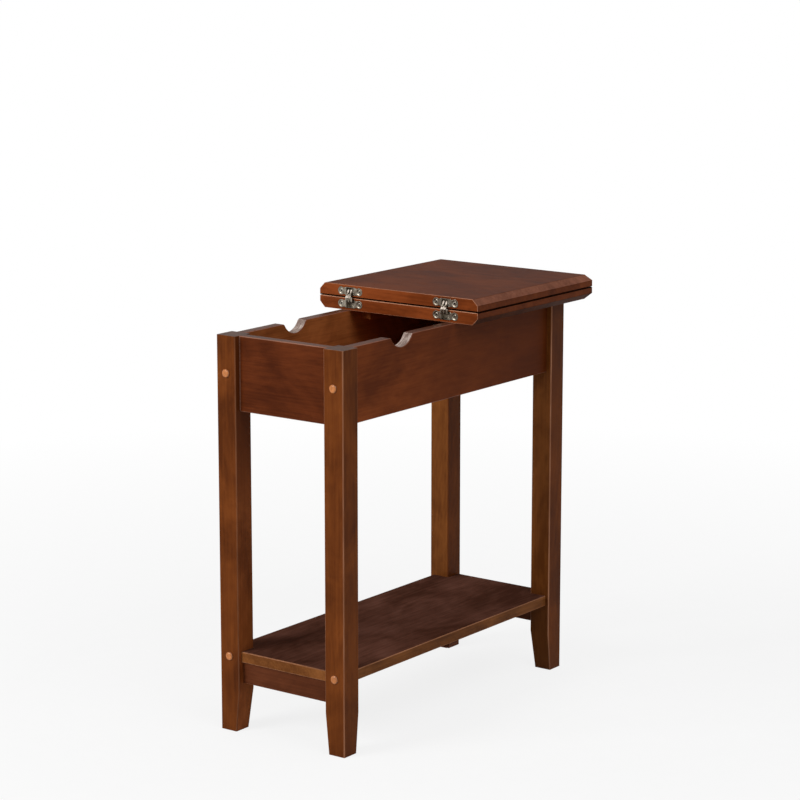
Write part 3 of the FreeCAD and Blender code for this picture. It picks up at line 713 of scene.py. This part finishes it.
def make_screws(nodes, material, shank_share, sunk=0.0):
    """Each screw lies along the longest side of its CAD solid, its head at the thicker end."""
    for node in nodes:
        bm = bmesh.new()
        for points in solids_of(node):
            low, high = box_of(points)
            middle, size = (low + high) / 2, high - low
            along = max(range(3), key=lambda i: size[i])
            axis = (X, Y, Z)[along]
            radius = min(size) / 2
            wide = next(point for point in points
                        if (point - middle).cross(axis).length > HEAD_BEYOND * radius)
            outward = axis if wide[along] > middle[along] else -axis
            end = middle + outward * size[along] / 2
            add_screw(bm, end, outward, radius, shank_share * radius, size[along], sunk)
        stand_in(bm, "_turned", node, [material])


def make_smooth(nodes, material):
    """The nodes with rounded edges."""
    for node in nodes:
        bm = ease(welded(node), METAL_EASE, lambda edge: edge.calc_length() > SHORTEST_METAL)
        stand_in(bm, "_smooth", node, [material])


# ------------------------------------------------------------------ hinges

def corner_arc(x, z, radius, steps=4):
    """The round of an upper right corner about (x, z), from its top to its right."""
    turns = [math.pi / 2 * (1 - i / steps) for i in range(steps + 1)]
    return [(x + radius * math.cos(t), z + radius * math.sin(t)) for t in turns]


def mirrored(quarter):
    """A closed outline about (0, 0) from the upper right quarter of it, clockwise."""
    half = quarter + [(x, -z) for x, z in reversed(quarter) if z > 0]
    return half + [(-x, -z) for x, z in half]


def plate_outline(half_length, half_height, inset):
    """The dog-bone plate: a middle block, two necks and two round lobes."""
    inset += PLATE_GAP
    lobe, lobe_x = half_height - inset, half_length - half_height
    block, waist = PLATE_BLOCK / 2 - inset, PLATE_WAIST / 2 - inset
    neck = math.pi - math.asin(waist / lobe)
    quarter = corner_arc(block - BLOCK_ROUND, lobe - BLOCK_ROUND, BLOCK_ROUND)
    quarter += [(block + x, waist + z) for x, z in NECK_FILLET]
    turns = [neck * i / LOBE_STEPS for i in range(LOBE_STEPS, 0, -1)]
    quarter += [(lobe_x + lobe * math.cos(t), lobe * math.sin(t)) for t in turns]
    return mirrored(quarter + [(half_length - inset, 0)])


def round_box(width, height, grow=0.0):
    """A rectangle with rounded corners about (0, 0)."""
    x, z = (size / 2 + grow - SLOT_ROUND for size in (width, height))
    return mirrored(corner_arc(x, z, SLOT_ROUND))


def circle(x, radius):
    """A circle about (x, 0)."""
    return [(x + radius * math.cos(t), radius * math.sin(t)) for t in full_turn(ROUND)]


def stack(bm, middle, *levels):
    """Joins (outline, depth) levels about the middle into a wall; returns its first and last rings."""
    rings = [[bm.verts.new((middle.x + x, y, middle.z + z)) for x, z in points] for points, y in levels]
    for near, far in zip(rings, rings[1:]):
        join_rings(bm, near, far)
    return rings[0], rings[-1]


def mark_slot(bm, middle):
    """Gives the second material to the faces that lie in line with the slot of a housing."""
    for face in bm.faces:
        across, up = (abs(value) for value in face.calc_center_median().xz - middle.xz)
        if across < SLOT_WIDTH / 2 + SLOT_EASE and up < SLOT_HEIGHT / 2 + SLOT_EASE:
            face.material_index = 1


def make_housing(node, sink, materials):
    """A cast plate and cup with countersinks in its lobes and a deep slot for the links."""
    low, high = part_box(node)
    middle = (low + high) / 2
    half_length, half_height = (high.x - low.x) / 2, (high.z - low.z) / 2
    lobe_x = half_length - half_height
    front, back = low.y - PROUD, low.y + PLATE_THICKNESS
    facet = PLATE_FACET * PLATE_EASE
    cup_outline, slot_outline = round_box(CUP_WIDTH, CUP_HEIGHT), round_box(SLOT_WIDTH, SLOT_HEIGHT)
    bm = bmesh.new()
    plate = stack(bm, middle, *[(plate_outline(half_length, half_height, inset), y) for inset, y in (
        (PLATE_EASE, front), (facet, front + facet), (0, front + PLATE_EASE), (0, back))])
    slot = stack(bm, middle, (round_box(SLOT_WIDTH, SLOT_HEIGHT, SLOT_EASE), front),
                 (slot_outline, front + SLOT_EASE), (slot_outline, low.y + SLOT_DEPTH))
    cup = stack(bm, middle, (cup_outline, back), (cup_outline, high.y))
    sinks = [stack(bm, middle, (circle(x, sink + SINK_SLOPE), front), (circle(x, sink), low.y + SUNK),
                   (circle(x, HINGE_SHANK + SCREW_GAP), back)) for x in (-lobe_x, lobe_x)]
    fill(bm, plate[0], slot[0], *[first for first, last in sinks])
    fill(bm, plate[1], cup[0], *[last for first, last in sinks])
    bm.faces.new(slot[1])
    bm.faces.new(cup[1])
    mark_slot(bm, middle)
    stand_in(bm, "_cast", node, materials)


def web_outline(length):
    """The forked web seen square on, as (across, along) points."""
    tip = length - TIP_CHAMFER
    prong = WEB_NECK - PRONG_TAPER
    right = [(WEB_FOOT - inwards, along) for inwards, along in FOOT_CORNER]
    right += [(WEB_NECK, NECK_START), (prong, tip), (prong - TIP_CHAMFER, length),
              (FORK_GAP + TIP_CHAMFER, length), (FORK_GAP, tip)]
    right += [(x, FORK_BASE - z) for x, z in reversed(corner_arc(0, 0, FORK_GAP))]
    return right + [(-x, along) for x, along in reversed(right[:-1])]


def make_webs(material):
    """The forked webs in front of the upper links: a broad riveted foot and two prongs."""
    low, high = (LEAF_AXIS + Vector((0, y, z)) * MM for y, z in (WEB_LOW, WEB_HIGH))
    along = (high - low).normalized()
    outward = X.cross(along)
    housings = [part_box("upper_hinge_housing_" + side) for side in ("left", "right")]
    feet = [Vector(((left.x + right.x) / 2, low.y, low.z)) for left, right in housings]
    outline = web_outline((high - low).length / MM)
    bm = bmesh.new()
    for foot in feet:
        rings = [[bm.verts.new(foot + (X * x + along * v - outward * depth) * MM) for x, v in outline]
                 for depth in (0, WEB_THICKNESS)]
        join_rings(bm, *rings)
        for ring in rings:
            bm.faces.new(ring)
    ease(bm, METAL_EASE, lambda edge: True)
    rivet = [(radius * MM, height * MM) for radius, height in RIVET]
    for foot in feet:
        turned(bm, rivet, foot + along * RIVET_PLACE * MM, outward, RIVET_FLATS)
    piece(bm, "upper_hinge_webs", "upper_hinge_links", [material])


def make_hinges():
    """The hinges, darkest on their plates and links, paler in the slots as painted light, and paler on the screws.
    """
    metal = plated("hinge_nickel", "948d80", 0.24, 2)
    # painted light: paler metal on the slot walls, where little light falls
    slot_metal_painted_light = plated("hinge_slot_nickel_painted_light", "bcb5a8", 0.32, 5)
    web_metal = plated("hinge_web_nickel", "9d948a", 0.42, 4)
    screw_metal = plated("hinge_screw_nickel", "aaa498", 0.2, 3)
    for level in ("lower", "upper"):
        low, high = box_of(solids_of(level + "_hinge_screws")[0])
        sink = (high.x - low.x) / 2 + SCREW_GAP
        for side in ("left", "right"):
            make_housing("%s_hinge_housing_%s" % (level, side), sink, [metal, slot_metal_painted_light])
    make_smooth(("lower_hinge_links", "upper_hinge_links", "hinge_cross_pins"), metal)
    make_screws(("lower_hinge_screws", "upper_hinge_screws"), screw_metal, HINGE_SHANK_SHARE, SUNK)
    make_webs(web_metal)


# ------------------------------------------------------------------ hidden fittings

def make_fittings():
    """Zinc plated fittings and bare dowels; bolts, pins and dowels keep their CAD shape."""
    zinc = plated("zinc_steel", "a9aaa6", 0.28, 1)
    make_smooth(("apron_barrel_nuts", "shelf_barrel_nuts"), zinc)
    make_screws(("leaf_screws", "cleat_screws", "batten_screws"), zinc, WOOD_SHANK_SHARE)
    finishes = dict.fromkeys(("apron_bolts", "shelf_bolts", "lower_root_pins", "upper_root_pins"), zinc)
    finishes["apron_dowels"] = stained_wood("bare_dowel", "dowel", "Y", 5)
    for node, material in finishes.items():
        NODES[node].data.materials.clear()
        NODES[node].data.materials.append(material)


# ------------------------------------------------------------------ studio and camera

CAMERA_PLACE = (2.3146, -3.1221, 1.2354)
CAMERA_YAW = 36.611              # degrees, from looking along +Y towards -X
CAMERA_PITCH = -11.375
FOCAL_PIXELS = 2675.0
FRAME_PIXELS = 800
SENSOR = 36.0
CLIP_END = 200
TABLE_MIDDLE = Vector((0, 0, 0.35))
DAYLIGHT = 0.22                  # level of the light from all round
LIGHTS = {                       # name: (place, width, level)
    "key": ((-1.4, -3.2, 2.3), 1.8, 0.66),
    "fill": ((2.0, -0.6, 3.0), 2.0, 0.28),
    "overhead": ((0.2, 0.6, 3.4), 2.4, 0.12),
}
FLOOR_SIZE = 80
NEAR, FAR = 0.6, 2.0             # the floor shows shadows inside the first, is white beyond the last
FLOOR_GLOW = 0.84                # how white it is seen near the table
PAPER = (0.73, 0.77)             # its darkest and palest grey
PAPER_NOISE = (30, 30, 30)       # cells per metre
WHITE = (1, 1, 1, 1)


def make_camera():
    """A camera where the photograph was taken from, as fitted to the corners of the table."""
    data = bpy.data.cameras.new("camera")
    data.sensor_width = SENSOR
    data.lens = FOCAL_PIXELS / FRAME_PIXELS * SENSOR
    data.clip_end = CLIP_END
    obj = bpy.data.objects.new("camera", data)
    bpy.context.scene.collection.objects.link(obj)
    yaw = Matrix.Rotation(math.radians(CAMERA_YAW), 4, "Z")
    pitch = Matrix.Rotation(math.radians(90 + CAMERA_PITCH), 4, "X")
    obj.matrix_world = Matrix.Translation(CAMERA_PLACE) @ yaw @ pitch
    bpy.context.scene.camera = obj


def soft_light(name, place, size, level):
    """A round soft light that lights a face turned to it, at the middle of the table, to the level."""
    away = TABLE_MIDDLE - Vector(place)
    data = bpy.data.lights.new(name, "AREA")
    data.shape = "DISK"
    data.size = size
    data.energy = level * math.pi ** 2 * away.length_squared
    obj = bpy.data.objects.new(name, data)
    obj.location = place
    obj.rotation_euler = away.to_track_quat("-Z", "Y").to_euler()
    bpy.context.scene.collection.objects.link(obj)


def seen_directly(g):
    """1 for rays from the camera, reflections and glass, 0 for the light that falls on things."""
    rays = g.node("ShaderNodeLightPath").outputs
    seen = g.math("MAXIMUM", rays["Is Camera Ray"], rays["Is Glossy Ray"])
    return g.math("MAXIMUM", seen, rays["Is Transmission Ray"])


def make_world():
    """Soft light from all round, in front of a white backdrop."""
    g = Graph(bpy.data.worlds.new("studio"))
    bpy.context.scene.world = g.owner
    plain = (DAYLIGHT, DAYLIGHT, DAYLIGHT, 1)
    g.feed(g.tree.nodes["Background"].inputs["Color"], g.mix(seen_directly(g), plain, WHITE))


def make_floor():
    """A pale floor that keeps the soft shadow near the table and fades to white away from it."""
    bpy.ops.mesh.primitive_plane_add(size=FLOOR_SIZE, location=(0, 0, 0))
    floor = bpy.context.object
    floor.name = "floor"
    g = Graph(bpy.data.materials.new("pale_floor"))
    place = g.place()
    dark, pale = ((grey, grey, grey, 1) for grey in PAPER)
    paper = g.ramp(g.noise(place, PAPER_NOISE, 4), [(0.3, dark), (0.7, pale)])
    surface = g.shader(Base_Color=paper, Roughness=0.85, Specular_IOR_Level=0.1)
    glow = g.remap(g.vector("LENGTH", place), NEAR, FAR, FLOOR_GLOW, 1.0)
    white = g.node("ShaderNodeEmission", {"Color": WHITE, "Strength": 1.0}).outputs[0]
    seen_glow = g.math("MULTIPLY", seen_directly(g), glow)
    blend = g.node("ShaderNodeMixShader", {0: seen_glow, 1: surface, 2: white})
    g.feed(g.tree.nodes["Material Output"].inputs["Surface"], blend.outputs[0])
    floor.data.materials.append(g.owner)


def make_studio():
    """The lights, the backdrop and the floor, and the plain view transform."""
    for name, (place, width, level) in LIGHTS.items():
        soft_light(name, place, width, level)
    make_world()
    make_floor()
    bpy.context.scene.view_settings.view_transform = "Standard"


# ------------------------------------------------------------------ everything together

make_camera()
make_studio()
make_legs()
make_aprons()
make_shelf()
make_leaves()
make_plugs()
make_hinges()
make_fittings()
